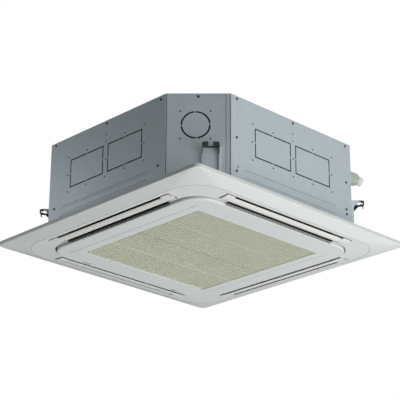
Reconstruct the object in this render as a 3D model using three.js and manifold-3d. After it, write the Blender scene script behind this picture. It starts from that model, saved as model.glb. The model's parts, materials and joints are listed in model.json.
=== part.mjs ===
// Ceiling cassette air conditioner: an eight-sided sheet-metal casing that hangs above the
// ceiling, and a square decoration panel below it with a hinged intake grille and four vanes.
// Millimetres, +Z up. The origin is the centre of the panel, in the plane of the ceiling.
import * as THREE from 'three';
import { mergeVertices } from 'three/addons/utils/BufferGeometryUtils.js';
import Module from 'manifold-3d';

const wasm = await Module();
wasm.setup();

// ---- driving dimensions: plan, from the centre outwards -------------------------------------
const fitGap = 0.3;            // air left between faces that touch
const grilleHalf = 272;        // centre to the edge of the grille opening
const doorBorder = 85;         // plain frame round the grille
const doorCorner = 78;         // corner radius of the intake door
const doorGap = 3.5;           // door to outlet guide
const guideWall = 2.5;         // outlet guide wall
const outletWidth = 49.5;      // clear width of an air outlet
const linerWall = 6;           // foam lining on the casing sides
const sheet = 1.2;             // casing sheet thickness
const ridgeLand = 14;          // flat from outlet to the ridge of the panel
const ridgeCorner = 110;       // corner radius of the ridge
const borderWidth = 48.5;      // sloping border outside the ridge
const panelCorner = 20;        // corner radius of the panel's outer edge
const chamferLeg = 142;        // corner cut of the casing, along each side
const outletReach = 242;       // centre to the end of an air outlet
const vaneReach = 281;         // centre to the end of a vane
const vaneEndGap = 4;          // vane end to outlet guide end
const guideEnd = 12;           // end wall of an outlet guide, with the vane bearing

// ---- driving dimensions: heights -------------------------------------------------------------
const doorDrop = 36;           // ceiling to the underside of the intake door
const doorDepth = 14;          // height of the door's side wall
const innerDrop = 28;          // ceiling to the panel's inner edge
const ridgeDrop = 25;          // ceiling to the ridge
const lipHeight = 12;          // height of the panel's outer edge
const panelWall = 3.2;         // moulded wall of the panel
const rimWidth = 10;           // rim of the panel that lies against the ceiling
const casingBase = 22;         // ceiling to the bottom of the casing
const panHeight = 48;          // drain pan
const troughDepth = 28;        // trough in the pan under the heat exchanger
const coilHeight = 254;        // heat exchanger
const coilHeadroom = 8.5;      // heat exchanger to the top plate

// ---- driving dimensions: parts ---------------------------------------------------------------
const doorWall = 3;
const coilClear = 19;          // pan wall between an outlet and the heat exchanger
const coilThick = 36;
const coilCorner = 95;
const coilOpen = 138;          // heat exchanger's cut ends from its open corner
const fanRadius = 235;
const fanHeight = 168;
const fanHeadroom = 36;        // top plate to the fan's back plate
const fanEye = 172;            // radius of the fan's inlet
const fanWall = 2.6;
const bladeCount = 7;
const domeRadius = 125;        // hub dome that holds the motor
const domeClear = 22;          // dome tip above the fan's inlet edge
const shaftRadius = 6;
const bellThroat = 163.5;
const bellFlange = 250;
const bellWall = 2.5;
const bellOverlap = 7;         // bell mouth into the fan's inlet
const motorRadius = 80;
const motorHeight = 78;
const cushionHeight = 12;      // rubber cushions between motor and top plate
const hangerOffset = 39;       // hanger centre from the middle of its corner face
const hangerWidth = 54;
const hangerReach = 45;
const hangerHeight = 125;      // ceiling to the hook plate's top face
const hangerPlate = 2.5;
const hangerFoot = 30;
const rodSlot = 28;            // width of the slot for the hanger rod
const rodMouth = 14;           // width of the slot's open mouth
const slatPitch = 12;
const slatThick = 1.8;
const grilleDepth = 6;
const latchTravel = 8;
const latchSpread = 200;       // centre to each latch
const hingeSpread = 150;       // centre to each door hinge
const hingePin = 2.5;          // pin radius

// ---- heights and distances that follow --------------------------------------------------------
const doorHalf = grilleHalf + doorBorder;
const guideInner = doorHalf + doorGap;
const outletInner = guideInner + guideWall;
const outletOuter = outletInner + outletWidth;
const coilOuter = outletInner - coilClear;
const coilEnd = coilOuter - coilOpen;
const bodyHalf = outletOuter + linerWall + fitGap + sheet;
const ridgeHalf = outletOuter + ridgeLand;
const panelHalf = ridgeHalf + borderWidth;
const bodyFold = bodyHalf - chamferLeg;
const chamferOut = (2 * bodyHalf - chamferLeg) * Math.SQRT1_2;
const cornerOut = chamferOut - sheet - fitGap;
const guideReach = vaneReach + vaneEndGap;
const guideTop = casingBase - fitGap;
const panBase = casingBase + fitGap;
const panTop = panBase + panHeight;
const coilBase = panTop - troughDepth + fitGap;
const coilTop = coilBase + coilHeight;
const topUnder = coilTop + coilHeadroom;
const casingTop = topUnder + sheet;
const sideTop = topUnder - fitGap;
const fanTop = topUnder - fanHeadroom;
const fanBase = fanTop - fanHeight;
const hubTip = fanBase + domeClear;
const motorTop = topUnder - cushionHeight - fitGap;
const motorBase = motorTop - motorHeight;
const doorBase = -doorDrop;
const doorFloor = doorBase + doorWall;
const doorRim = doorBase + doorDepth;

// ---- materials --------------------------------------------------------------------------------
function finish(color, roughness, metalness) {
  return new THREE.MeshStandardMaterial({ color, roughness, metalness });
}
const galvanised = finish(0xa9b5b9, 0.45, 0.75);
const zincPlate = finish(0x98a1a3, 0.4, 0.8);
const panelWhite = finish(0xe9ebeb, 0.5, 0);
const vaneCream = finish(0xeeece4, 0.45, 0);
const grilleOlive = finish(0x9fa492, 0.7, 0);
const filterGrey = finish(0x7f8473, 0.8, 0);
const foamWhite = finish(0xd9dcd8, 0.9, 0);
const finAluminium = finish(0xb9c0c6, 0.4, 0.9);
const copper = finish(0xb4713f, 0.35, 0.95);
const motorBlack = finish(0x2c2e30, 0.55, 0.3);
const rubberBlack = finish(0x1d1d1e, 0.85, 0);
const fanGrey = finish(0xc8cccd, 0.6, 0);
const stubGreen = finish(0xabb9a8, 0.5, 0);
const stubClear = finish(0xdbdddd, 0.3, 0);

// ---- how finely round forms are divided --------------------------------------------------------
const largeTurn = 24;          // segments of the fan, its bell mouth and its seats
const mediumTurn = 18;
const smallTurn = 12;
const cornerSteps = 6;         // segments of a panel corner

// ---- solids -----------------------------------------------------------------------------------
const past = 1;                // how far a cutting body runs past a face

function solid(geometry) {
  geometry.deleteAttribute('normal');
  geometry.deleteAttribute('uv');
  const merged = mergeVertices(geometry, 1e-4);
  return new wasm.Manifold(new wasm.Mesh({
    numProp: 3,
    vertProperties: Float32Array.from(merged.attributes.position.array),
    triVerts: Uint32Array.from(merged.index.array),
  }));
}

function geometryOf(body) {
  const found = body.getMesh();
  const geometry = new THREE.BufferGeometry();
  geometry.setAttribute('position', new THREE.BufferAttribute(found.vertProperties, 3));
  geometry.setIndex(new THREE.BufferAttribute(found.triVerts, 1));
  return geometry;
}

function join(first, ...rest) {
  return rest.reduce((body, next) => body.add(next), first);
}

function cut(first, ...rest) {
  return rest.reduce((body, next) => body.subtract(next), first);
}

function block(x0, x1, y0, y1, z0, z1) {
  const geometry = new THREE.BoxGeometry(x1 - x0, y1 - y0, z1 - z0);
  return solid(geometry.translate((x0 + x1) / 2, (y0 + y1) / 2, (z0 + z1) / 2));
}

function outline(points) {
  return new THREE.Shape(points.map(([x, y]) => new THREE.Vector2(x, y)));
}

// A flat shape in X and Y, raised from z0 to z1.
function prismZ(shape, z0, z1, curveSegments = 5) {
  const geometry = new THREE.ExtrudeGeometry(shape, { depth: z1 - z0, bevelEnabled: false, curveSegments });
  return solid(geometry.translate(0, 0, z0));
}

// A flat shape in X and Z, drawn out from y0 to y1.
function prismY(shape, y0, y1, curveSegments = 5) {
  const geometry = new THREE.ExtrudeGeometry(shape, { depth: y1 - y0, bevelEnabled: false, curveSegments });
  return solid(geometry.rotateX(Math.PI / 2).translate(0, y1, 0));
}

// A flat shape in Y and Z, drawn out from x0 to x1.
function prismX(shape, x0, x1, curveSegments = 5) {
  const geometry = new THREE.ExtrudeGeometry(shape, { depth: x1 - x0, bevelEnabled: false, curveSegments });
  const turn = new THREE.Matrix4().makeBasis(
    new THREE.Vector3(0, 1, 0), new THREE.Vector3(0, 0, 1), new THREE.Vector3(1, 0, 0));
  return solid(geometry.applyMatrix4(turn).translate(x0, 0, 0));
}

// A closed profile of [radius, height] turned about Z.
function turned(profile, segments) {
  const points = [...profile, profile[0]].map(([r, z]) => new THREE.Vector2(r, z));
  return outward(new THREE.LatheGeometry(points, segments).rotateX(Math.PI / 2));
}

function rod(axis, radius, from, to, centre, segments = smallTurn) {
  const geometry = new THREE.CylinderGeometry(radius, radius, to - from, segments);
  const middle = (from + to) / 2;
  if (axis === 'x') {
    geometry.rotateZ(-Math.PI / 2).translate(middle, centre[0], centre[1]);
  } else if (axis === 'y') {
    geometry.translate(centre[0], middle, centre[1]);
  } else {
    geometry.rotateX(Math.PI / 2).translate(centre[0], centre[1], middle);
  }
  return solid(geometry);
}

// Turns the faces of a closed surface outwards.
function outward(geometry) {
  const body = geometry.index ? geometry : mergeVertices(geometry);
  const at = body.attributes.position;
  const index = body.index.array;
  const [a, b, c] = [new THREE.Vector3(), new THREE.Vector3(), new THREE.Vector3()];
  let volume = 0;
  for (let i = 0; i < index.length; i += 3) {
    a.fromBufferAttribute(at, index[i]);
    b.fromBufferAttribute(at, index[i + 1]);
    c.fromBufferAttribute(at, index[i + 2]);
    volume += a.dot(b.cross(c));
  }
  if (volume < 0) {
    for (let i = 0; i < index.length; i += 3) {
      [index[i], index[i + 1]] = [index[i + 1], index[i]];
    }
  }
  return solid(body);
}

// One ring of points on a square with round corners.
function squareRing(half, radius, z, steps) {
  const ring = [];
  for (let corner = 0; corner < 4; corner += 1) {
    const start = corner * Math.PI / 2;
    const side = start + Math.PI / 4;
    const reach = (half - radius) * Math.SQRT2;
    for (let i = 0; i <= steps; i += 1) {
      const angle = start + i / steps * Math.PI / 2;
      ring.push([
        reach * Math.cos(side) + radius * Math.cos(angle),
        reach * Math.sin(side) + radius * Math.sin(angle),
        z,
      ]);
    }
  }
  return ring;
}

// A frame: a closed profile of [half width, corner radius, height] led round the square.
function squareFrame(profile, steps = cornerSteps) {
  const rings = profile.map(([half, radius, z]) => squareRing(half, radius, z, steps));
  const count = rings[0].length;
  const index = [];
  rings.forEach((ring, i) => {
    const next = (i + 1) % rings.length;
    for (let j = 0; j < count; j += 1) {
      const k = (j + 1) % count;
      index.push(i * count + j, i * count + k, next * count + k);
      index.push(i * count + j, next * count + k, next * count + j);
    }
  });
  const geometry = new THREE.BufferGeometry();
  geometry.setAttribute('position', new THREE.Float32BufferAttribute(rings.flat(2), 3));
  geometry.setIndex(index);
  return outward(geometry);
}

function squareShape(half, radius) {
  const ring = squareRing(half, radius, 0, cornerSteps);
  return outline(ring);
}

// An octagon with a flat half width and a corner cut.
function octagon(half, leg) {
  const fold = half - leg;
  return outline([[half, -fold], [half, fold], [fold, half], [-fold, half],
    [-half, fold], [-half, -fold], [-fold, -half], [fold, -half]]);
}

function quarterCurve(count, at) {
  return Array.from({ length: count + 1 }, (_, i) => at(i / count * Math.PI / 2));
}

// ---- where sides and corners face ---------------------------------------------------------------
const unit = new THREE.Group();
const sides = [
  { name: 'right', turn: 0 },
  { name: 'back', turn: Math.PI / 2 },
  { name: 'left', turn: Math.PI },
  { name: 'front', turn: 3 * Math.PI / 2 },
];
const corners = [
  { name: 'front_right', turn: -Math.PI / 4, shift: 1 },
  { name: 'back_right', turn: Math.PI / 4, shift: -1 },
  { name: 'back_left', turn: 3 * Math.PI / 4, shift: 1 },
  { name: 'front_left', turn: 5 * Math.PI / 4, shift: -1 },
];

function place(name, body, material, turn = 0) {
  const mesh = new THREE.Mesh(geometryOf(body), material);
  mesh.name = name;
  mesh.rotation.z = turn;
  unit.add(mesh);
  return mesh;
}

// ---- services that pass through the casing ------------------------------------------------------
const drain = {
  aside: 75, z: 238, collar: 22, end: 15.5, bore: 12.5, inside: 37, collarLength: 34, length: 62,
};
const drainX = bodyHalf - drain.aside;
const drainFace = 2 * bodyHalf - chamferLeg - drainX;    // where the stub meets the corner sheet
const drainStart = drainFace - drain.inside;
const gasPipe = { x: 62, z: 205, radius: 7.94, nut: 15, nutLength: 24 };
const liquidPipe = { x: 112, z: 175, radius: 4.76, nut: 11, nutLength: 18 };
const pipes = [{ name: 'gas', ...gasPipe }, { name: 'liquid', ...liquidPipe }];
const pipeReach = 46;          // pipe ends outside the casing
const pipeWall = 1;
const serviceSlot = { x0: 30, x1: 140, z0: 145, z1: 235 };
const serviceLap = 12;         // cover plate over the edges of its opening

function drainHole() {
  return rod('y', drain.collar + fitGap, 0, panelHalf, [drainX, drain.z], mediumTurn);
}

function serviceHoles(clear) {
  return pipes.map((pipe) => rod('y', pipe.radius + clear, coilOuter, panelHalf, [pipe.x, pipe.z]));
}

// ---- casing -------------------------------------------------------------------------------------
const foldFlange = 14;         // side sheet lapped on to the corner sheet
const slitWidth = 2.6;         // cut line of a knock-out
const knockout = { inner: 11, width: 163, base: 124, height: 98, tab: 4 };
const rib = { from: -224, to: 203, width: 5, proud: 1, levels: [39, 65] };

function sideSheet() {
  const lap = foldFlange * Math.SQRT1_2;
  const skin = sheet * Math.SQRT1_2;
  const inset = bodyFold - sheet * (Math.SQRT2 - 1);
  const shape = outline([
    [bodyHalf, -bodyFold], [bodyHalf, bodyFold],
    [bodyHalf - lap, bodyFold + lap], [bodyHalf - lap - skin, bodyFold + lap - skin],
    [bodyHalf - sheet, inset], [bodyHalf - sheet, -inset],
    [bodyHalf - lap - skin, -bodyFold - lap + skin], [bodyHalf - lap, -bodyFold - lap],
  ]);
  return prismZ(shape, casingBase, sideTop);
}

function slit(y0, y1, z0, z1) {
  return block(bodyHalf - 2 * sheet, bodyHalf + sheet, y0, y1, z0, z1);
}

// Cut lines round one knock-out, held by a tab in the middle of each edge.
function knockoutSlits(y0) {
  const y1 = y0 + knockout.width;
  const z0 = knockout.base;
  const z1 = z0 + knockout.height;
  const spans = (from, to) => {
    const middle = (from + to) / 2;
    return [[from, middle - knockout.tab / 2], [middle + knockout.tab / 2, to]];
  };
  const slits = [];
  for (const z of [z0, z1 - slitWidth]) {
    slits.push(...spans(y0, y1).map(([from, to]) => slit(from, to, z, z + slitWidth)));
  }
  for (const y of [y0, y1 - slitWidth]) {
    slits.push(...spans(z0, z1).map(([from, to]) => slit(y, y + slitWidth, from, to)));
  }
  return slits;
}

function stadium(from, to, level, width) {
  const shape = new THREE.Shape();
  shape.absarc(to - width / 2, level, width / 2, -Math.PI / 2, Math.PI / 2);
  shape.absarc(from + width / 2, level, width / 2, Math.PI / 2, 3 * Math.PI / 2);
  return shape;
}

function sideRibs() {
  return rib.levels.map((level) => prismX(stadium(rib.from, rib.to, level, rib.width),
    bodyHalf - sheet / 2, bodyHalf + rib.proud, 2));
}

function pipeSideSheet() {
  const opening = block(serviceSlot.x0, serviceSlot.x1, bodyHalf - 2 * sheet, bodyHalf + sheet,
    serviceSlot.z0, serviceSlot.z1).rotate([0, 0, -90]);
  return cut(join(sideSheet(), ...sideRibs()), opening);
}

for (const side of sides) {
  const body = side.name === 'back' ? pipeSideSheet() : cut(
    join(sideSheet(), ...sideRibs()),
    ...knockoutSlits(knockout.inner - slitWidth / 2),
    ...knockoutSlits(-knockout.inner - knockout.width),
  );
  place(`side_panel_${side.name}`, body, galvanised, side.turn);
}

const freshAir = { offset: -8, level: 201, radius: 45, tabAngle: 0.09 };

function ringSlits() {
  const slits = [];
  for (let i = 0; i < 4; i += 1) {
    const start = i * Math.PI / 2 + freshAir.tabAngle;
    const stop = (i + 1) * Math.PI / 2 - freshAir.tabAngle;
    const shape = new THREE.Shape();
    shape.absarc(freshAir.offset, freshAir.level, freshAir.radius + slitWidth / 2, start, stop);
    shape.absarc(freshAir.offset, freshAir.level, freshAir.radius - slitWidth / 2, stop, start, true);
    slits.push(prismX(shape, cornerOut - 2 * sheet, cornerOut + sheet, 4));
  }
  return slits;
}

// Corner sheets lie behind the laps of the side sheets.
const cornerReach = chamferLeg * Math.SQRT1_2 - (Math.SQRT2 - 1) * (sheet + fitGap);
for (const corner of corners) {
  const plate = block(cornerOut - sheet, cornerOut, -cornerReach, cornerReach, casingBase, sideTop);
  const withAir = corner.name === 'front_right' || corner.name === 'back_left';
  const holes = withAir ? ringSlits() : [];
  if (corner.name === 'back_right') {
    holes.push(drainHole().rotate([0, 0, -45]));
  }
  place(`corner_panel_${corner.name}`, cut(plate, ...holes), galvanised, corner.turn);
}

// Top plate with pressed beads: one round the motor, and one towards each side and corner.
const bead = { proud: 2.5, width: 14, ring: 120, from: 150, to: 340 };

function topPlate() {
  const plate = prismZ(octagon(bodyHalf, chamferLeg), topUnder, casingTop);
  const top = casingTop + bead.proud;
  const half = bead.width / 2;
  const seat = casingTop - sheet / 2;
  const ring = turned([[bead.ring - half, seat], [bead.ring + half, seat],
    [bead.ring + half / 2, top], [bead.ring - half / 2, top]], smallTurn);
  const rays = Array.from({ length: 8 }, (_, i) => prismZ(
    stadium(bead.from, bead.to, 0, bead.width), seat, top, 2).rotate([0, 0, i * 45]));
  return join(plate, ring, ...rays);
}
place('top_plate', topPlate(), galvanised);

// Pipe side: a cover plate over the opening, with the two pipes through it.
function serviceCover() {
  const { x0, x1, z0, z1 } = serviceSlot;
  const y0 = bodyHalf + fitGap;
  const plate = block(x0 - serviceLap, x1 + serviceLap, y0, y0 + sheet, z0 - serviceLap, z1 + serviceLap);
  return cut(plate, ...serviceHoles(fitGap));
}
place('pipe_cover_plate', serviceCover(), galvanised);

for (const pipe of pipes) {
  const tip = bodyHalf + pipeReach;
  const tube = cut(
    rod('y', pipe.radius, coilOuter + fitGap, tip, [pipe.x, pipe.z]),
    rod('y', pipe.radius - pipeWall, coilOuter + 2 * pipeWall, tip + pipeWall, [pipe.x, pipe.z]),
  );
  const flareNut = cut(
    rod('y', pipe.nut, tip - pipe.nutLength, tip - pipeWall, [pipe.x, pipe.z], 6),
    rod('y', pipe.radius - pipeWall / 2, bodyHalf, tip, [pipe.x, pipe.z]),
  );
  place(`${pipe.name}_pipe`, join(tube, flareNut), copper);
}

// ---- hanger brackets ----------------------------------------------------------------------------
const rodSlotEnd = 12;         // closed end of the rod slot, from the corner face
const hookMouth = 10;          // depth of the slot's narrow mouth
const hookLip = 12;            // height of the turned-down tips
const cheekReach = 30;         // cheek's reach under the hook plate
const cheekDrop = 24;          // height of a cheek's slope
const cheekFoot = 10;

function hangerHook() {
  const back = -sheet;
  const half = hangerWidth / 2;
  const neck = hangerReach - hookMouth;
  const centre = rodSlotEnd + rodSlot / 2;
  const hook = new THREE.Shape();
  hook.moveTo(back, -half);
  hook.lineTo(neck, -half);
  hook.lineTo(hangerReach, -half + hookMouth / 2);
  hook.lineTo(hangerReach, -rodMouth / 2);
  hook.lineTo(neck, -rodMouth / 2);
  hook.lineTo(neck, -rodSlot / 2);
  hook.lineTo(centre, -rodSlot / 2);
  hook.absarc(centre, 0, rodSlot / 2, -Math.PI / 2, Math.PI / 2, true);
  hook.lineTo(neck, rodSlot / 2);
  hook.lineTo(neck, rodMouth / 2);
  hook.lineTo(hangerReach, rodMouth / 2);
  hook.lineTo(hangerReach, half - hookMouth / 2);
  hook.lineTo(neck, half);
  hook.lineTo(back, half);
  return prismZ(hook, hangerHeight - hangerPlate, hangerHeight, 4);
}

function hangerBracket() {
  const back = -sheet;
  const half = hangerWidth / 2;
  const tip = half - hookMouth / 2 - rodMouth / 2;
  const cheek = outline([[back, hangerFoot], [cheekFoot, hangerFoot], [cheekFoot, hangerHeight - cheekDrop],
    [cheekReach, hangerHeight - hangerPlate], [cheekReach, hangerHeight], [back, hangerHeight]]);
  const parts = [block(back, back + hangerPlate, -half, half, hangerFoot, hangerHeight)];
  for (const y of [-half, half - hangerPlate]) {
    parts.push(prismY(cheek, y, y + hangerPlate));
  }
  for (const y of [-half + hookMouth / 2, rodMouth / 2]) {
    const x0 = hangerReach - hangerPlate;
    parts.push(block(x0, hangerReach, y, y + tip, hangerHeight - hookLip, hangerHeight));
  }
  return join(hangerHook(), ...parts);
}

for (const corner of corners) {
  const body = hangerBracket().translate([chamferOut, corner.shift * hangerOffset, 0]);
  place(`hanger_bracket_${corner.name}`, body, zincPlate, corner.turn);
}

// ---- inside the casing --------------------------------------------------------------------------
const linerHalf = bodyHalf - sheet - fitGap;
const linerLeg = chamferLeg - (2 - Math.SQRT2) * (sheet + fitGap);
const linerTop = topUnder - fitGap;
const chamferLiner = 2 * (sheet + fitGap);   // corner sheets stand further in than the side sheets
const coilSteps = 3;           // segments of a heat exchanger corner
const panEye = 222;            // radius of the opening in the drain pan

function foamLiner() {
  const outer = octagon(linerHalf, linerLeg + chamferLiner);
  const inner = octagon(linerHalf - linerWall, linerLeg + chamferLiner - (2 - Math.SQRT2) * linerWall);
  const shell = cut(prismZ(outer, panBase, linerTop), prismZ(inner, casingBase, casingTop));
  return cut(shell, drainHole(), ...serviceHoles(fitGap));
}
place('foam_liner', foamLiner(), foamWhite);

function drainPan() {
  const half = linerHalf - linerWall - fitGap;
  const leg = linerLeg + chamferLiner - (2 - Math.SQRT2) * (linerWall + fitGap);
  const body = prismZ(octagon(half, leg), panBase, panTop);
  const notches = sides.map((side) => block(outletInner + fitGap, panelHalf, -outletReach, outletReach,
    casingBase, panTop + past).rotate([0, 0, THREE.MathUtils.radToDeg(side.turn)]));
  const inner = coilOuter - coilThick - 2 * fitGap;
  const outer = coilOuter + 2 * fitGap;
  const floor = panTop - troughDepth;
  const trough = squareFrame([
    [inner, coilCorner - coilThick, floor], [outer, coilCorner, floor],
    [outer, coilCorner, panTop + past], [inner, coilCorner - coilThick, panTop + past],
  ], coilSteps);
  const eye = rod('z', panEye, casingBase, panTop + past, [0, 0], largeTurn);
  const seatTop = panBase + bellWall + fitGap;
  const seat = rod('z', bellFlange + fitGap, casingBase - past, seatTop, [0, 0], largeTurn);
  return cut(body, ...notches, trough, eye, seat);
}
place('drain_pan', drainPan(), foamWhite);

// Heat exchanger: a finned block bent round the fan, open at the pipe corner, where a plate
// with the tubes' return bends closes each end.
const endPlate = 2;
const tubeRadius = 3.5;
const tubeRows = 4;

function finBlock() {
  const inner = coilOuter - coilThick;
  const ring = squareFrame([
    [inner, coilCorner - coilThick, coilBase], [coilOuter, coilCorner, coilBase],
    [coilOuter, coilCorner, coilTop], [inner, coilCorner - coilThick, coilTop],
  ], coilSteps);
  return cut(ring, block(coilEnd, panelHalf, coilEnd, panelHalf, casingBase, casingTop));
}

function tubePlate() {
  const inner = coilOuter - coilThick;
  const y0 = coilEnd - endPlate / 2;
  const plate = block(inner, coilOuter, y0, y0 + endPlate, coilBase, coilTop);
  const bends = [];
  const pitch = coilHeight / tubeRows;
  for (let row = 0; row < tubeRows; row += 1) {
    const z = coilBase + (row + 0.5) * pitch;
    const bend = new THREE.Shape();
    bend.absarc(0, 0, coilThick / 4 + tubeRadius, 0, Math.PI);
    bend.absarc(0, 0, coilThick / 4 - tubeRadius, Math.PI, 0, true);
    bends.push(prismZ(bend, z - tubeRadius, z + tubeRadius, 3)
      .translate([coilOuter - coilThick / 2, y0 + endPlate / 2, 0]));
  }
  return join(plate, ...bends);
}
place('heat_exchanger', join(finBlock(), tubePlate(), tubePlate().mirror([1, -1, 0])), finAluminium);

// ---- fan and motor ------------------------------------------------------------------------------
const shroudRise = 55;         // shroud height, inlet edge to rim
const shroudLip = 12;
const bladeInner = 128;
const bladeThick = 9;
const bladeEdge = 1.1;         // half thickness at a blade's edges
const bladeSweep = 0.62;       // angle a blade leans back, radians
const bladeCurl = 0.8;         // below one, a blade leans most near its inner edge
const hubDepth = 16;
const hubWall = 10;

function domeProfile(offset) {
  const depth = fanTop - hubTip;
  return quarterCurve(5, (a) => [
    Math.max((domeRadius - offset) * Math.cos(a), shaftRadius + fitGap),
    fanTop - offset - (depth - 2 * offset) * Math.sin(a),
  ]).filter(([r], i, all) => i === 0 || r < all[i - 1][0]);
}

function backPlate() {
  const outer = [[fanRadius, fanTop - fanWall], ...domeProfile(0).slice(1)];
  const inner = domeProfile(fanWall).slice(0, -1).reverse();
  const bore = shaftRadius + fitGap;
  const lower = outer.map(([r, z]) => [r, z - fanWall / 2]);
  const upper = inner.map(([r, z]) => [r, z + fanWall]);
  return turned([...lower, [bore, hubTip + hubDepth], [bore + hubWall, hubTip + hubDepth], ...upper,
    [fanRadius, fanTop]], largeTurn);
}

function shroudCurve(offset) {
  return quarterCurve(3, (a) => [
    fanEye + offset + (fanRadius - fanEye - offset) * (1 - Math.cos(a)),
    fanBase + shroudLip - offset + (shroudRise - shroudLip) * Math.sin(a),
  ]);
}

function shroud() {
  const below = shroudCurve(fanWall);
  const above = shroudCurve(0).reverse();
  return turned([[fanEye + fanWall, fanBase], ...below, ...above, [fanEye, fanBase]], largeTurn);
}

// One backward-leaning blade: an aerofoil drawn along an arc, thickest near its inner edge.
function bladeShape() {
  const steps = 4;
  const upper = [];
  const lower = [];
  for (let i = 0; i <= steps; i += 1) {
    const s = i / steps;
    const radius = bladeInner + (fanRadius - fanWall - bladeInner) * s;
    const angle = -bladeSweep * s ** bladeCurl;
    const half = bladeEdge + bladeThick * Math.sqrt(s) * (1 - s);
    const [x, y] = [radius * Math.cos(angle), radius * Math.sin(angle)];
    upper.push([x - half * Math.sin(angle), y + half * Math.cos(angle)]);
    lower.push([x + half * Math.sin(angle), y - half * Math.cos(angle)]);
  }
  return outline([...lower, ...upper.reverse()]);
}

function turboFan() {
  const root = bladeInner - 2 * bladeThick;
  const channel = turned([
    [root, fanBase + shroudLip + fitGap], ...shroudCurve(-fitGap),
    [fanRadius, fanTop - fanWall], [root, fanTop - fanWall],
  ], largeTurn);
  const core = turned([[shaftRadius, fanTop + fanWall], ...domeProfile(fanWall / 2).slice(0, -1).reverse()],
    largeTurn);
  const blades = [];
  for (let i = 0; i < bladeCount; i += 1) {
    const blade = prismZ(bladeShape(), fanBase, fanTop).rotate([0, 0, i * 360 / bladeCount]);
    blades.push(cut(blade.intersect(channel), core));
  }
  return join(backPlate(), ...blades);
}
place('turbo_fan', turboFan(), fanGrey);
place('fan_shroud', shroud(), fanGrey);

const nut = { radius: 10, height: 9, thread: 4 };
const shaftGrip = 24;          // shaft inside the motor
const nutTop = hubTip - fitGap - fanWall / 2;
const shaftTop = motorBase + shaftGrip;
place('motor_shaft', rod('z', shaftRadius, hubTip - nut.height - nut.thread, shaftTop, [0, 0]), zincPlate);
place('fan_nut', cut(
  rod('z', nut.radius, nutTop - nut.height, nutTop, [0, 0], 6),
  rod('z', shaftRadius + fitGap, fanBase, fanTop, [0, 0]),
), zincPlate);

const motorForm = { boss: 30, bossEdge: 34, bossSink: 3, bevel: 8, shoulder: 10, crown: 6 };
const lug = { radius: 13, out: 89, height: 5 };
const cushion = { radius: 10, waist: 7, sink: 1 };
const axisRadius = 0.01;       // a turned profile stops this close to its axis

function fanMotor() {
  const bore = shaftRadius + fitGap;
  const flat = motorRadius - motorForm.bevel;
  const bossFace = motorBase + motorForm.bossSink;
  const body = turned([[bore, bossFace], [motorForm.boss, bossFace],
    [motorForm.bossEdge, motorBase], [flat, motorBase], [motorRadius, motorBase + motorForm.shoulder],
    [motorRadius, motorTop - motorForm.crown], [flat, motorTop], [axisRadius, motorTop],
    [axisRadius, shaftTop + fitGap], [bore, shaftTop + fitGap]], smallTurn);
  const foot = turned([[axisRadius, motorTop - cushion.sink], [cushion.radius, motorTop - cushion.sink],
    [cushion.waist, motorTop + cushionHeight / 2], [cushion.radius, topUnder - fitGap],
    [axisRadius, topUnder - fitGap]], 8).translate([lug.out, 0, 0]);
  const lugs = [0, 120, 240].map((angle) => join(
    rod('z', lug.radius, motorTop - lug.height, motorTop, [lug.out, 0], 8),
    block(motorRadius / 2, lug.out, -lug.radius, lug.radius, motorTop - lug.height, motorTop),
    foot,
  ).rotate([0, 0, angle]));
  return join(body, ...lugs);
}
place('fan_motor', fanMotor(), motorBlack);

const bellFlat = 38;           // flat rim of the bell mouth
const bellCurve = 43;          // height of its curve, before the straight throat

function bellMouth() {
  const bellTop = fanBase + bellOverlap;
  const curve = (offset) => quarterCurve(4, (a) => [
    bellThroat + offset + (bellFlange - bellFlat - bellThroat) * (1 - Math.sin(a)),
    panBase + offset + bellCurve * (1 - Math.cos(a)),
  ]);
  return turned([[bellFlange, panBase], ...curve(0), [bellThroat, bellTop], [bellThroat + bellWall, bellTop],
    ...curve(bellWall).reverse(), [bellFlange, panBase + bellWall]], largeTurn);
}
place('bell_mouth', bellMouth(), panelWhite);

// ---- condensate: pump and float switch at the open corner, stub through the corner sheet --------
const pump = {
  inset: 50, radius: 30, height: 70, foot: 24, footRise: 14, neck: 20, neckDrop: 16, riser: 8,
};
const float = {
  aside: 88, inset: 20, stem: 3, radius: 11, height: 16, travel: 8, flange: 14, base: 3, head: 12, over: 6,
};
const hose = { radius: 8, above: 8, rise: 22, lead: 30 };
const pumpAt = coilOuter - pump.inset;

function drainPump() {
  const base = panTop + fitGap;
  const top = base + pump.height;
  const body = turned([[axisRadius, base], [pump.foot, base], [pump.radius, base + pump.footRise],
    [pump.radius, top - pump.neck], [pump.neck, top - pump.neckDrop], [pump.neck, top], [axisRadius, top]],
  smallTurn).translate([pumpAt, pumpAt, 0]);
  const riser = rod('z', pump.riser, top - pump.neckDrop, drain.z + hose.above, [pumpAt, pumpAt]);
  return join(body, riser);
}
place('drain_pump', drainPump(), motorBlack);

// Hose from the pump's riser to the stub, one smooth bend.
function drainHose() {
  const low = drain.z + hose.above;
  const path = new THREE.CubicBezierCurve3(
    new THREE.Vector3(pumpAt, pumpAt, low + fitGap),
    new THREE.Vector3(pumpAt, pumpAt, low + hose.rise),
    new THREE.Vector3(drainX, pumpAt - hose.lead, low),
    new THREE.Vector3(drainX, drainStart - fitGap, drain.z),
  );
  const ring = new THREE.Shape();
  ring.absarc(0, 0, hose.radius, 0, 2 * Math.PI);
  return solid(new THREE.ExtrudeGeometry(ring, { steps: 8, curveSegments: 4, extrudePath: path }));
}
place('drain_hose', drainHose(), rubberBlack);

const sumpFloor = panTop - troughDepth + fitGap;
const floatBase = sumpFloor + float.base + fitGap;
const floatCentre = [coilOuter - float.aside, coilOuter - float.inset];
const floatHead = floatBase + float.height + float.travel + 2 * fitGap;

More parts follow.
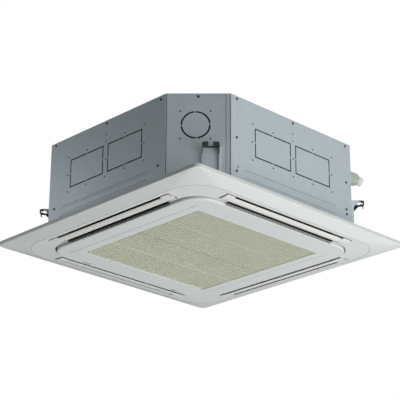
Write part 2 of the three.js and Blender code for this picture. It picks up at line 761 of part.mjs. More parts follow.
function floatSwitch() {
  return join(
    rod('z', float.flange, sumpFloor, sumpFloor + float.base, floatCentre),
    rod('z', float.stem, sumpFloor, floatHead + float.over, floatCentre, 8),
    rod('z', float.flange, floatHead, floatHead + float.head, floatCentre),
  );
}
place('float_switch', floatSwitch(), motorBlack);
place('float', cut(
  rod('z', float.radius, floatBase, floatBase + float.height, floatCentre),
  rod('z', float.stem + fitGap, casingBase, casingTop, floatCentre, 8),
), foamWhite);

function drainStub(radius, from, to) {
  return cut(
    rod('y', radius, from, to, [drainX, drain.z], mediumTurn),
    rod('y', drain.bore, from - past, to + past, [drainX, drain.z]),
  );
}
const collarTip = drainFace + drain.collarLength;
place('drain_collar', drainStub(drain.collar, drainStart, collarTip), stubGreen);
place('drain_socket', drainStub(drain.end, collarTip + fitGap, drainFace + drain.length), stubClear);

// ---- electrical box beside the bell mouth, reached through the intake ---------------------------
const deck = { ledge: 8, wall: 3, lip: 6, corner: 20 };
const intakeHalf = grilleHalf + deck.ledge;
const controlBox = { aside: 5, width: 72, half: 130, depth: 30, wall: 1.2 };
const boxLeft = -intakeHalf + controlBox.aside;
const boxRight = boxLeft + controlBox.width;

function boxTray() {
  const { half, depth, wall } = controlBox;
  return cut(
    block(boxLeft, boxRight, -half, half, guideTop - depth, guideTop),
    block(boxLeft + wall, boxRight - wall, -half + wall, half - wall, guideTop - depth - past, guideTop - wall),
  );
}

function boxCover() {
  const { half, depth, wall } = controlBox;
  const top = guideTop - depth - fitGap;
  return block(boxLeft, boxRight, -half, half, top - wall, top);
}

place('control_box', boxTray(), galvanised);
place('control_box_cover', boxCover(), galvanised);

// ---- decoration panel ---------------------------------------------------------------------------
const panelSeam = 2;           // guide's inner face to the panel's inner edge
const panelBevel = 1.5;
const slotLand = 6;            // panel surface left beside the door at a slot's ends
const coverFrom = 300;         // corner covers start this far from the centre
const panelInner = guideInner + panelSeam;
const rimInner = panelHalf - rimWidth;

function panelSlope(half) {
  return -ridgeDrop - (innerDrop - ridgeDrop) * (ridgeHalf - half) / (ridgeHalf - panelInner);
}

function panelShell() {
  const innerCorner = doorCorner + doorGap + panelSeam;
  const rimFloor = -lipHeight - (ridgeDrop - lipHeight) * rimWidth / borderWidth + panelWall;
  return squareFrame([
    [panelHalf, panelCorner, 0], [panelHalf, panelCorner, -lipHeight + panelBevel],
    [panelHalf - panelBevel, panelCorner, -lipHeight], [ridgeHalf, ridgeCorner, -ridgeDrop],
    [panelInner + panelBevel, innerCorner, -innerDrop], [panelInner, innerCorner, -innerDrop + panelBevel],
    [panelInner, innerCorner, -innerDrop + panelWall], [ridgeHalf, ridgeCorner, -ridgeDrop + panelWall],
    [rimInner, panelCorner, rimFloor], [rimInner, panelCorner, 0],
  ]);
}

// The corner region outside the ridge, grown or shrunk by a gap.
function coverRegion(gap) {
  const from = coverFrom + gap;
  const to = panelHalf + ridgeLand;
  const square = block(from, to, from, to, -doorDrop, casingBase);
  return cut(square, prismZ(squareShape(ridgeHalf + gap, ridgeCorner), -2 * doorDrop, 2 * casingBase));
}

// Air slot of one side: open to the door along the outlet, narrower beside the vane's ends.
function airSlot() {
  const [low, high] = [-2 * doorDrop, casingBase];
  return join(
    block(0, outletOuter, -outletReach, outletReach, low, high),
    block(outletInner + slotLand, outletOuter, -guideReach, guideReach, low, high),
  );
}

function panelFrame() {
  const slots = sides.map((side) => airSlot().rotate([0, 0, THREE.MathUtils.radToDeg(side.turn)]));
  const covers = [0, 90, 180, 270].map((angle) => coverRegion(0).rotate([0, 0, angle]));
  return cut(panelShell(), ...slots, ...covers);
}
place('panel_frame', panelFrame(), panelWhite);

corners.forEach((corner, i) => {
  const body = panelShell().intersect(coverRegion(fitGap).rotate([0, 0, (i - 1) * 90]));
  place(`corner_cover_${corner.name}`, body, panelWhite);
});

// ---- outlet guides, vanes and vane motors -------------------------------------------------------
const guideBase = panelSlope(outletOuter + guideWall) + panelWall + fitGap;
const pivotX = outletInner + outletWidth / 2;
const pivotZ = -13;
const pinRadius = 3;
const pinReach = 7;            // pin into its bearing
const pinTurn = 8;
const roofBase = 17.5;         // guide ceiling beyond the outlet, above the turning vane
const skirtBase = -28;         // lower edge of the guide's wall beside the door
const keeper = { half: 11, below: 3.6 };   // slot in a guide for a latch's tongue

function outletGuide() {
  const end = guideReach + guideEnd;
  const bore = guideReach + pinReach + past;
  const outer = block(guideInner, outletOuter + guideWall, -end, end, guideBase, guideTop);
  const skirtEnd = outletReach - fitGap;
  const skirt = block(guideInner, outletInner, -skirtEnd, skirtEnd, skirtBase, guideBase + past);
  return cut(
    join(outer, skirt),
    block(outletInner, outletOuter, -guideReach, guideReach, guideBase - past, roofBase),
    block(outletInner, outletOuter, -outletReach, outletReach, guideBase - past, guideTop + past),
    rod('y', pinRadius + fitGap, -bore, bore, [pivotX, pivotZ], pinTurn),
  );
}

function keeperSlots() {
  return [-latchSpread, latchSpread].map((y) => block(guideInner - past, outletInner + past,
    y - keeper.half, y + keeper.half, doorRim - keeper.below, doorRim + past));
}

for (const side of sides) {
  const holes = side.name === 'left' ? keeperSlots() : [];
  place(`outlet_guide_${side.name}`, cut(outletGuide(), ...holes), panelWhite, side.turn);
}

// Vane: a blade bowed downwards, thin at both edges, wider at its ends, where an arm and a pin
// carry it.
const vane = {
  gap: 10, endGap: 3.5, outerZ: -27, inner: 11, innerZ: -30, bow: 2.2, thick: 4.2, edge: 1.4, clear: 5,
};
const arm = { inset: 4, back: 8, hub: 6, thick: 3, rise: 1.5 };
const vaneOuter = outletOuter - vane.gap;
const vaneInner = outletInner + vane.inner;

function vaneShape(outer) {
  const steps = 4;
  const lower = [];
  const upper = [];
  for (let i = 0; i <= steps; i += 1) {
    const s = i / steps;
    const hump = 4 * s * (1 - s);
    const x = outer + (vaneInner - outer) * s;
    const z = vane.outerZ + (vane.innerZ - vane.outerZ) * s - vane.bow * hump;
    lower.push([x, z]);
    upper.push([x, z + vane.edge + (vane.thick - vane.edge) * hump]);
  }
  return outline([...lower.reverse(), ...upper]);
}

function vaneArm() {
  const shape = new THREE.Shape();
  shape.moveTo(vaneInner + arm.inset, vane.innerZ - arm.rise);
  shape.lineTo(vaneOuter - arm.back, vane.outerZ - arm.rise);
  shape.lineTo(pivotX + arm.hub, pivotZ);
  shape.absarc(pivotX, pivotZ, arm.hub, 0, Math.PI);
  return shape;
}

function airVane() {
  const wide = outletOuter - vane.endGap;
  const endFrom = outletReach + vane.clear;
  const tip = guideReach + pinReach;
  return join(
    prismY(vaneShape(vaneOuter), -endFrom - past, endFrom + past),
    prismY(vaneShape(wide), endFrom, vaneReach),
    prismY(vaneShape(wide), -vaneReach, -endFrom),
    prismY(vaneArm(), vaneReach - arm.thick, vaneReach, 4),
    prismY(vaneArm(), -vaneReach, arm.thick - vaneReach, 4),
    rod('y', pinRadius, vaneReach - arm.thick, tip, [pivotX, pivotZ], pinTurn),
    rod('y', pinRadius, -tip, arm.thick - vaneReach, [pivotX, pivotZ], pinTurn),
  );
}

// Stepping motor on the end of a guide, its body above its own offset shaft.
const stepper = {
  radius: 10.5, depth: 19, lift: 8, ear: 15, earHalf: 3.5, earThick: 1.5, plug: 6, plugRise: 4, inset: 3,
};

function stepperMotor() {
  const y0 = guideReach + guideEnd + fitGap;
  const y1 = y0 + stepper.depth;
  const z = pivotZ + stepper.lift;
  return join(
    rod('y', stepper.radius, y0, y1, [pivotX, z]),
    block(pivotX - stepper.ear, pivotX + stepper.ear, y0, y0 + stepper.earThick,
      z - stepper.earHalf, z + stepper.earHalf),
    block(pivotX - stepper.plug, pivotX + stepper.plug, y0 + stepper.inset, y1 - stepper.inset,
      z, z + stepper.radius + stepper.plugRise),
  );
}

for (const side of sides) {
  place(`vane_${side.name}`, airVane(), vaneCream, side.turn);
  place(`vane_motor_${side.name}`, stepperMotor(), zincPlate, side.turn);
}

// Centre frame of the panel, under the casing and round the intake.
const deckBase = guideTop - deck.wall;
place('intake_frame', squareFrame([
  [intakeHalf, deck.corner, deckBase - deck.lip], [intakeHalf + deck.wall, deck.corner, deckBase - deck.lip],
  [intakeHalf + deck.wall, deck.corner, deckBase], [guideInner - fitGap, doorCorner, deckBase],
  [guideInner - fitGap, doorCorner, guideTop], [intakeHalf, deck.corner, guideTop],
]), panelWhite);

// ---- intake door --------------------------------------------------------------------------------
const lipInset = 2;
const lipThick = 1.2;
const pocketWall = 2.5;
const pocketTop = -24;
const pocketCorner = 0.4;
const doorEdge = { flat: 6, bevel: 1.5, rise: 5 };
const hinge = { x: doorHalf - 13, z: -27, notch: 12, ear: 3, earHalf: 4, earOver: 4 };
const groove = { inset: 55, width: 2.2, depth: 1 };
const knob = { x: doorHalf - 31, width: 14, half: 16, edge: 1, side: 5 };
const tongue = { half: 8, thick: 2.6, below: 0.6, inset: 2, clear: 1 };

function hingeSeat(y) {
  return block(doorHalf - doorWall - past, doorHalf + past, y - hinge.notch, y + hinge.notch,
    doorFloor, doorRim + past);
}

function hingeLugs(y) {
  const pin = rod('y', hingePin, y - hinge.notch, y + hinge.notch, [hinge.x, hinge.z]);
  const ears = [y - hinge.notch, y + hinge.notch - hinge.ear].map((start) => block(
    hinge.x - hinge.earHalf, hinge.x + hinge.earHalf, start, start + hinge.ear,
    doorFloor - past, hinge.z + hinge.earOver));
  return join(pin, ...ears);
}

// Window in the door's face for a latch's knob, and a slot in its side wall for the tongue.
function latchWindow(y) {
  return block(-knob.x - knob.width - latchTravel - fitGap, -knob.x + fitGap,
    y - knob.half - fitGap, y + knob.half + fitGap, doorBase - past, doorFloor + past);
}

function latchSlot(y) {
  const half = tongue.half + tongue.clear;
  return block(-doorHalf - past, -doorHalf + doorWall + past, y - half, y + half,
    doorRim - keeper.below, doorRim + past);
}

function doorFrame() {
  const frame = squareFrame([
    [grilleHalf - lipInset, pocketCorner, doorBase],
    [doorHalf - doorEdge.flat, doorCorner - doorEdge.flat, doorBase],
    [doorHalf - doorEdge.bevel, doorCorner - doorEdge.bevel, doorBase + doorEdge.bevel],
    [doorHalf, doorCorner, doorBase + doorEdge.rise],
    [doorHalf, doorCorner, doorRim], [doorHalf - doorWall, doorCorner - doorWall, doorRim],
    [doorHalf - doorWall, doorCorner - doorWall, doorFloor],
    [grilleHalf + pocketWall, pocketCorner, doorFloor],
    [grilleHalf + pocketWall, pocketCorner, pocketTop], [grilleHalf, pocketCorner, pocketTop],
    [grilleHalf, pocketCorner, doorBase + lipThick],
    [grilleHalf - lipInset, pocketCorner, doorBase + lipThick],
  ]);
  const hinges = [-hingeSpread, hingeSpread];
  const latches = [-latchSpread, latchSpread];
  const at = doorHalf - groove.inset;
  const grooves = [-at, at].map((y) => block(-at, at,
    y - groove.width / 2, y + groove.width / 2, doorBase - past, doorBase + groove.depth));
  const open = cut(frame, ...hinges.map(hingeSeat), ...latches.map(latchWindow), ...latches.map(latchSlot),
    ...grooves);
  return join(open, ...hinges.map(hingeLugs));
}
place('intake_door_frame', doorFrame(), panelWhite);

// Sliding latch: a knob in the door's face, a flange that keeps it, and a tongue.
function latch(y) {
  const { x, width, half, edge, side } = knob;
  const top = doorRim - tongue.below;
  const inner = -x - tongue.inset;
  return join(
    block(-x - width, -x, y - half, y + half, doorBase, doorFloor + 2 * edge),
    block(-x - width + edge, -x - edge, y - half - side, y + half + side,
      doorFloor + fitGap, doorFloor + 2 * edge),
    block(-x - width + tongue.inset, inner, y - tongue.half, y + tongue.half, doorFloor, top),
    block(-doorHalf + doorWall / 2, inner, y - tongue.half, y + tongue.half, top - tongue.thick, top),
  );
}
place('door_latch_1', latch(-latchSpread), panelWhite);
place('door_latch_2', latch(latchSpread), panelWhite);

// Hinge hook fixed to the outlet guide, reaching under the door's pin.
const hook = { half: 8, wall: 2.4, arm: 3.5, rise: 15, mouth: 1.65 * Math.PI };

function hingeHook(y) {
  const inside = hingePin + fitGap;
  const outside = inside + hook.wall;
  const reach = guideInner - fitGap;
  const armBase = hinge.z + hook.rise;
  const shape = new THREE.Shape();
  shape.moveTo(reach, armBase + hook.arm);
  shape.lineTo(hinge.x - outside, armBase + hook.arm);
  shape.lineTo(hinge.x - outside, hinge.z);
  shape.absarc(hinge.x, hinge.z, outside, Math.PI, hook.mouth);
  shape.absarc(hinge.x, hinge.z, inside, hook.mouth, Math.PI, true);
  shape.lineTo(hinge.x - inside, armBase);
  shape.lineTo(reach, armBase);
  return prismY(shape, y - hook.half, y + hook.half, 5);
}
place('hinge_hook_1', hingeHook(-hingeSpread), panelWhite);
place('hinge_hook_2', hingeHook(hingeSpread), panelWhite);

// Slatted grille: leaning slats along X, three ribs across them, in a narrow frame.
const insertHalf = grilleHalf - fitGap;
const insertEdge = 4;
const ribCount = 3;
const ribThick = 2.4;
const slatLean = 2.6;
const slatSet = 0.5;           // slats end this far inside the frame's faces
const grilleBase = doorBase + lipThick + fitGap;
const grilleTop = grilleBase + grilleDepth;

function slat(y) {
  const reach = insertHalf - insertEdge / 2;
  const half = slatThick / 2;
  const [z0, z1] = [grilleBase + slatSet, grilleTop - slatSet];
  const shape = outline([[y - slatLean - half, z0], [y - slatLean + half, z0],
    [y + slatLean + half, z1], [y + slatLean - half, z1]]);
  return prismX(shape, -reach, reach);
}

// A square frame of flat bars, open inside.
function barFrame(edge, z0, z1) {
  const inner = insertHalf - edge;
  return cut(
    block(-insertHalf, insertHalf, -insertHalf, insertHalf, z0, z1),
    block(-inner, inner, -inner, inner, z0 - past, z1 + past),
  );
}

// Bars along Y that divide the opening of a frame into equal widths.
function crossBars(count, thick, edge, z0, z1) {
  const inner = insertHalf - edge;
  return Array.from({ length: count }, (_, i) => {
    const x = -inner + (i + 1) * 2 * inner / (count + 1);
    return block(x - thick / 2, x + thick / 2, -inner - past, inner + past, z0, z1);
  });
}

function grilleInsert() {
  const inner = insertHalf - insertEdge;
  const count = Math.floor(2 * (inner - slatLean - slatThick) / slatPitch);
  const first = -(count - 1) / 2 * slatPitch;
  const slats = Array.from({ length: count }, (_, i) => slat(first + i * slatPitch));
  const ribs = crossBars(ribCount, ribThick, insertEdge, grilleBase, grilleTop);
  return join(barFrame(insertEdge, grilleBase, grilleTop), ...ribs, ...slats);
}
place('intake_grille', grilleInsert(), grilleOlive);

// Air filter above the grille: a framed net with cross bars.
const netThick = 0.8;
const filterDepth = 3;
const filterEdge = 8;
const filterBar = 3;
const netBase = grilleTop + fitGap;
const filterBase = netBase + netThick + fitGap;
place('filter_frame', join(
  barFrame(filterEdge, filterBase, filterBase + filterDepth),
  ...crossBars(ribCount, filterBar, filterEdge, filterBase, filterBase + filterDepth),
), panelWhite);
place('filter_net', block(-insertHalf, insertHalf, -insertHalf, insertHalf,
  netBase, netBase + netThick), filterGrey);

export default unit;
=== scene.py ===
import bpy
import bmesh
import json
import math
from mathutils import Vector, Matrix


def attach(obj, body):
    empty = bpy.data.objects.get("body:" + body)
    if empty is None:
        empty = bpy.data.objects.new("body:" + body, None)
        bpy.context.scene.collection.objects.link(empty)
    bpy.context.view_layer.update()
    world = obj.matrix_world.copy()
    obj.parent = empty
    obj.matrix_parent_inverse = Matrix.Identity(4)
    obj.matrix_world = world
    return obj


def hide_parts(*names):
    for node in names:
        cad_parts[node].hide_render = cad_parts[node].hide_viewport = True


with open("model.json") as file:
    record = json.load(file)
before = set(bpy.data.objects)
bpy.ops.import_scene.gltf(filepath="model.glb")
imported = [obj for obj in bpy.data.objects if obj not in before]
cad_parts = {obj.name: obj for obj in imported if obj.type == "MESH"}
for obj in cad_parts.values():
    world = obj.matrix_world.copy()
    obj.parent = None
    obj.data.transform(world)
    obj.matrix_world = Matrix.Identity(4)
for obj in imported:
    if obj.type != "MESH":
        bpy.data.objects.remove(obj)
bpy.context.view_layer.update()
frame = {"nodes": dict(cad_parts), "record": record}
nodes = frame["nodes"]
scene = bpy.context.scene
print("frame loaded:", len(nodes), "nodes")

sideTurns = {"right": 0, "back": 90, "left": 180, "front": 270}
cornerTurns = {"front_right": -45, "back_right": 45, "back_left": 135, "front_left": 225}


# ---- small helpers

def deselectAll():
    if bpy.context.object and bpy.context.object.mode != "OBJECT":
        bpy.ops.object.mode_set(mode="OBJECT")
    bpy.ops.object.select_all(action="DESELECT")


def pick(piece):
    deselectAll()
    piece.select_set(True)
    bpy.context.view_layer.objects.active = piece


def settle(piece):
    pick(piece)
    bpy.ops.object.transform_apply(location=True, rotation=True, scale=True)


def applyModifiers(piece):
    pick(piece)
    for modifier in list(piece.modifiers):
        bpy.ops.object.modifier_apply(modifier=modifier.name)


squareTo = 0.9     # a face whose normal has this much of an axis faces along it


def editFaces(piece, wanted):
    pick(piece)
    bpy.ops.object.mode_set(mode="EDIT")
    bpy.ops.mesh.select_mode(type="FACE")
    bpy.ops.mesh.select_all(action="DESELECT")
    shape = bmesh.from_edit_mesh(piece.data)
    for face in shape.faces:
        face.select_set(wanted(face))
    bmesh.update_edit_mesh(piece.data)


def editPoints(piece, wanted):
    pick(piece)
    bpy.ops.object.mode_set(mode="EDIT")
    bpy.ops.mesh.select_mode(type="VERT")
    bpy.ops.mesh.select_all(action="DESELECT")
    shape = bmesh.from_edit_mesh(piece.data)
    for point in shape.verts:
        point.select_set(wanted(point.co))
    bmesh.update_edit_mesh(piece.data)


def leaveEdit():
    bpy.ops.object.mode_set(mode="OBJECT")


def makeBlock(place, size):
    bpy.ops.mesh.primitive_cube_add(size=1, location=place)
    block = bpy.context.object
    block.scale = size
    settle(block)
    return block


def makeRow(piece, step, count):
    rows = piece.modifiers.new("rows", "ARRAY")
    rows.use_relative_offset = False
    rows.use_constant_offset = True
    rows.constant_offset_displace = step
    rows.count = count
    applyModifiers(piece)


def copyTurned(piece, name, degrees):
    twin = piece.copy()
    twin.data = piece.data.copy()
    twin.name = name
    twin.data.name = name
    scene.collection.objects.link(twin)
    twin.data.transform(Matrix.Rotation(math.radians(degrees), 4, "Z"))
    return twin


def joinPieces(pieces, name):
    deselectAll()
    for piece in pieces:
        piece.select_set(True)
    bpy.context.view_layer.objects.active = pieces[0]
    if len(pieces) > 1:
        bpy.ops.object.join()
    joined = bpy.context.object
    joined.name = name
    joined.data.name = name
    return joined


# Outward and sideways directions of a side or corner that is turned from the +X side.
def directions(turn):
    stand = Matrix.Rotation(math.radians(turn), 3, "Z")
    return stand @ Vector((1, 0, 0)), stand @ Vector((0, 1, 0))


def dress(piece, material, body):
    piece.data.materials.clear()
    piece.data.materials.append(material)
    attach(piece, body)


# ---- materials

def newMaterial(name, color, roughness, metallic=0.0):
    material = bpy.data.materials.new(name)
    material.use_nodes = True
    tree = material.node_tree
    shader = tree.nodes["Principled BSDF"]
    shader.inputs["Base Color"].default_value = (*color, 1)
    shader.inputs["Roughness"].default_value = roughness
    shader.inputs["Metallic"].default_value = metallic
    return material, tree, shader


def addCoordinates(tree, scale=(1, 1, 1)):
    coordinates = tree.nodes.new("ShaderNodeTexCoord")
    mapping = tree.nodes.new("ShaderNodeMapping")
    mapping.inputs["Scale"].default_value = scale
    tree.links.new(coordinates.outputs["Object"], mapping.inputs["Vector"])
    return mapping.outputs["Vector"]


def addNoise(tree, vector, scale, detail=2.0):
    noise = tree.nodes.new("ShaderNodeTexNoise")
    noise.inputs["Scale"].default_value = scale
    noise.inputs["Detail"].default_value = detail
    tree.links.new(vector, noise.inputs["Vector"])
    return noise.outputs["Fac"]


def addRamp(tree, value, stops):
    ramp = tree.nodes.new("ShaderNodeValToRGB")
    ramp.color_ramp.elements[0].position = stops[0][0]
    ramp.color_ramp.elements[0].color = (*stops[0][1], 1)
    ramp.color_ramp.elements[1].position = stops[-1][0]
    ramp.color_ramp.elements[1].color = (*stops[-1][1], 1)
    for position, color in stops[1:-1]:
        extra = ramp.color_ramp.elements.new(position)
        extra.color = (*color, 1)
    tree.links.new(value, ramp.inputs["Fac"])
    return ramp.outputs["Color"]


def addBump(tree, shader, height, strength, distance):
    bump = tree.nodes.new("ShaderNodeBump")
    bump.inputs["Strength"].default_value = strength
    bump.inputs["Distance"].default_value = distance
    tree.links.new(height, bump.inputs["Height"])
    tree.links.new(bump.outputs["Normal"], shader.inputs["Normal"])


def addRange(tree, value, low, high):
    remap = tree.nodes.new("ShaderNodeMapRange")
    remap.inputs["To Min"].default_value = low
    remap.inputs["To Max"].default_value = high
    tree.links.new(value, remap.inputs["Value"])
    return remap.outputs["Result"]


def shade(color, by):
    return tuple(min(1, part * by) for part in color)


plasticLook = {"clouds": 6, "from": 0.3, "to": 0.7, "smoother": 0.05, "rougher": 0.06, "bump": 0.25}


def plasticMaterial(name, color, roughness, grain=900, depth=0.0001, tint=0.03):
    look = plasticLook
    material, tree, shader = newMaterial(name, color, roughness)
    vector = addCoordinates(tree)
    clouds = addNoise(tree, vector, look["clouds"])
    stops = [(look["from"], shade(color, 1 - tint)), (look["to"], shade(color, 1 + tint))]
    tree.links.new(addRamp(tree, clouds, stops), shader.inputs["Base Color"])
    fine = addNoise(tree, vector, grain, 1)
    varied = addRange(tree, fine, roughness - look["smoother"], roughness + look["rougher"])
    tree.links.new(varied, shader.inputs["Roughness"])
    addBump(tree, shader, fine, look["bump"], depth)
    return material


# Galvanised sheet: faint crystals in the zinc and a slow change of gloss.
sheetLook = {
    "crystals": 70, "dark": 0.975, "light": 1.02, "gloss": 5, "smoother": 0.06, "rougher": 0.08,
    "bump": 0.1, "depth": 0.0004,
}


def sheetMaterial(name, color, roughness, metallic):
    look = sheetLook
    material, tree, shader = newMaterial(name, color, roughness, metallic)
    vector = addCoordinates(tree)
    crystals = tree.nodes.new("ShaderNodeTexVoronoi")
    crystals.inputs["Scale"].default_value = look["crystals"]
    tree.links.new(vector, crystals.inputs["Vector"])
    grey = tree.nodes.new("ShaderNodeSeparateColor")
    tree.links.new(crystals.outputs["Color"], grey.inputs["Color"])
    stops = [(0.0, shade(color, look["dark"])), (1.0, shade(color, look["light"]))]
    tree.links.new(addRamp(tree, grey.outputs["Red"], stops), shader.inputs["Base Color"])
    wide = addNoise(tree, vector, look["gloss"])
    varied = addRange(tree, wide, roughness - look["smoother"], roughness + look["rougher"])
    tree.links.new(varied, shader.inputs["Roughness"])
    addBump(tree, shader, wide, look["bump"], look["depth"])
    return material


metalLook = {
    "metallic": 0.9, "stretch": (1, 1, 40), "grain": 60, "detail": 3, "from": 0.3, "to": 0.7,
    "dark": 0.92, "light": 1.05, "smoother": 0.08, "rougher": 0.1,
}


def metalMaterial(name, color, roughness):
    look = metalLook
    material, tree, shader = newMaterial(name, color, roughness, look["metallic"])
    brushed = addNoise(tree, addCoordinates(tree, look["stretch"]), look["grain"], look["detail"])
    stops = [(look["from"], shade(color, look["dark"])), (look["to"], shade(color, look["light"]))]
    tree.links.new(addRamp(tree, brushed, stops), shader.inputs["Base Color"])
    varied = addRange(tree, brushed, roughness - look["smoother"], roughness + look["rougher"])
    tree.links.new(varied, shader.inputs["Roughness"])
    return material


foamLook = {"roughness": 0.9, "edge": 0.8, "dark": 0.86, "bump": 0.4, "depth": 0.0006}


def foamMaterial(name, color, bead):
    look = foamLook
    material, tree, shader = newMaterial(name, color, look["roughness"])
    beads = tree.nodes.new("ShaderNodeTexVoronoi")
    beads.inputs["Scale"].default_value = bead
    tree.links.new(addCoordinates(tree), beads.inputs["Vector"])
    stops = [(0.0, color), (look["edge"], shade(color, look["dark"]))]
    tree.links.new(addRamp(tree, beads.outputs["Distance"], stops), shader.inputs["Base Color"])
    addBump(tree, shader, beads.outputs["Distance"], look["bump"], look["depth"])
    return material


# Thin fins round the coil, as rings about the unit's axis.
finLook = {"roughness": 0.4, "metallic": 0.9, "rings": 120, "from": 0.2, "to": 0.7, "dark": 0.35}


def finMaterial(name, color):
    look = finLook
    material, tree, shader = newMaterial(name, color, look["roughness"], look["metallic"])
    fins = tree.nodes.new("ShaderNodeTexWave")
    fins.wave_type = "RINGS"
    fins.rings_direction = "Z"
    fins.inputs["Scale"].default_value = look["rings"]
    tree.links.new(addCoordinates(tree), fins.inputs["Vector"])
    stops = [(look["from"], shade(color, look["dark"])), (look["to"], color)]
    tree.links.new(addRamp(tree, fins.outputs["Fac"], stops), shader.inputs["Base Color"])
    return material


netLook = {
    "roughness": 0.8, "pitch": 0.004, "from": 0.5, "to": 0.9, "dark": 0.45, "bump": 0.5,
    "depth": 0.0003,
}


def netMaterial(name, color):
    look = netLook
    material, tree, shader = newMaterial(name, color, look["roughness"])
    vector = addCoordinates(tree)
    total = None
    for direction in ("X", "Y"):
        threads = tree.nodes.new("ShaderNodeTexWave")
        threads.bands_direction = direction
        threads.inputs["Scale"].default_value = 1 / look["pitch"]
        tree.links.new(vector, threads.inputs["Vector"])
        if total is None:
            total = threads.outputs["Fac"]
        else:
            weave = tree.nodes.new("ShaderNodeMath")
            weave.operation = "MAXIMUM"
            tree.links.new(total, weave.inputs[0])
            tree.links.new(threads.outputs["Fac"], weave.inputs[1])
            total = weave.outputs[0]
    stops = [(look["from"], shade(color, look["dark"])), (look["to"], color)]
    tree.links.new(addRamp(tree, total, stops), shader.inputs["Base Color"])
    addBump(tree, shader, total, look["bump"], look["depth"])
    return material


# Air guide: black on the wall beside the door, pale on the outer wall and beside the vane's ends.
guideTone = {
    "outer": 0.4085, "end": 0.2435, "black": (0.010, 0.011, 0.012), "pale": (0.50, 0.53, 0.52),
    "roughness": 0.6, "grain": 900, "bump": 0.2, "depth": 0.0001,
}


def guideMaterial(name, tone):
    material, tree, shader = newMaterial(name, tone["black"], tone["roughness"])
    coordinates = tree.nodes.new("ShaderNodeTexCoord")
    split = tree.nodes.new("ShaderNodeSeparateXYZ")
    tree.links.new(coordinates.outputs["Object"], split.inputs["Vector"])
    reach = {}
    for axis in ("X", "Y"):
        size = tree.nodes.new("ShaderNodeMath")
        size.operation = "ABSOLUTE"
        tree.links.new(split.outputs[axis], size.inputs[0])
        reach[axis] = size.outputs[0]
    passed = []
    for kind, limit in (("MAXIMUM", tone["outer"]), ("MINIMUM", tone["end"])):
        chosen = tree.nodes.new("ShaderNodeMath")
        chosen.operation = kind
        tree.links.new(reach["X"], chosen.inputs[0])
        tree.links.new(reach["Y"], chosen.inputs[1])
        over = tree.nodes.new("ShaderNodeMath")
        over.operation = "GREATER_THAN"
        tree.links.new(chosen.outputs[0], over.inputs[0])
        over.inputs[1].default_value = limit
        passed.append(over.outputs[0])
    either = tree.nodes.new("ShaderNodeMath")
    either.operation = "MAXIMUM"
    tree.links.new(passed[0], either.inputs[0])
    tree.links.new(passed[1], either.inputs[1])
    mix = tree.nodes.new("ShaderNodeMix")
    mix.data_type = "RGBA"
    mix.inputs[6].default_value = (*tone["black"], 1)
    mix.inputs[7].default_value = (*tone["pale"], 1)
    tree.links.new(either.outputs[0], mix.inputs["Factor"])
    tree.links.new(mix.outputs[2], shader.inputs["Base Color"])
    fine = addNoise(tree, coordinates.outputs["Object"], tone["grain"], 1)
    addBump(tree, shader, fine, tone["bump"], tone["depth"])
    return material


galvanised = sheetMaterial("galvanised sheet", (0.62, 0.70, 0.73), 0.42, 0.35)
# The hanger sheet is lighter than the casing sheet: painted light against the shade between the
# bracket's cheeks.
hangerSheetLightened = sheetMaterial("hanger sheet painted light", (0.74, 0.82, 0.85), 0.5, 0.2)
zincSteel = metalMaterial("zinc plated steel", (0.50, 0.52, 0.53), 0.38)
# Dark steel: the screws' own tone, and painted shade on the hangers' hooks and cheeks.
darkSteelAndHookShade = metalMaterial("dark steel and hook shade", (0.11, 0.12, 0.125), 0.5)
copperTube = metalMaterial("copper tube", (0.62, 0.30, 0.15), 0.3)
whiteFoam = foamMaterial("white foam", (0.72, 0.74, 0.71), 260)
foamLinerShade = foamMaterial("foam liner painted shade", (0.012, 0.012, 0.014), 300)
coilFins = finMaterial("coil fins", (0.60, 0.64, 0.68))
fanPlastic = plasticMaterial("fan plastic", (0.60, 0.63, 0.64), 0.55)
blackPaint = plasticMaterial("black paint", (0.025, 0.027, 0.03), 0.45)
blackPlastic = plasticMaterial("black plastic", (0.03, 0.031, 0.034), 0.5)
hoseRubber = plasticMaterial("hose rubber", (0.016, 0.016, 0.017), 0.75)
panelPlastic = plasticMaterial("panel plastic", (0.65, 0.68, 0.665), 0.38, 1400, 0.00006, 0.012)
vanePlastic = plasticMaterial("vane plastic", (0.70, 0.70, 0.665), 0.34, 1400, 0.00006, 0.012)
guidePlastic = guideMaterial("guide plastic", guideTone)
grillePlastic = plasticMaterial("grille plastic", (0.555, 0.577, 0.448), 0.6, 700)
toothWhite = plasticMaterial("tooth white", (0.93, 0.94, 0.92), 0.5)
filterNet = netMaterial("filter net", (0.17, 0.175, 0.14))
slitShadowBlack = plasticMaterial("slit shadow", (0.008, 0.009, 0.010), 0.9)
shadeLineGrey = plasticMaterial("shade line", (0.055, 0.065, 0.07), 0.7)
ridgeShadeGrey = plasticMaterial("ridge shade line", (0.36, 0.385, 0.35), 0.6)
combShade = plasticMaterial("comb shade", (0.09, 0.10, 0.10), 0.7)
stubGreen = plasticMaterial("green stub plastic", (0.40, 0.475, 0.39), 0.45)
stubClear = plasticMaterial("clear stub plastic", (0.70, 0.72, 0.69), 0.2)
holeShadow = plasticMaterial("hole shadow", (0.02, 0.022, 0.024), 0.8)

cadFinishes = {
    "casing_steel": galvanised, "hanger_steel": zincSteel, "copper": copperTube,
    "foam": whiteFoam, "coil": coilFins, "fan_plastic": fanPlastic, "motor_black": blackPaint,
    "black_plastic": blackPlastic, "hose_rubber": hoseRubber, "panel_white": panelPlastic,
    "vane_cream": vanePlastic, "grille_olive": grillePlastic, "filter_mesh": filterNet,
    "stub_green": stubGreen, "stub_clear": stubClear,
}
for part in frame["record"]["subparts"]:
    shown = nodes[part["node"]]
    shown.data.materials.clear()
    shown.data.materials.append(cadFinishes[part["material_slot"]])
for side in sideTurns:
    nodes["outlet_guide_" + side].data.materials[0] = guidePlastic
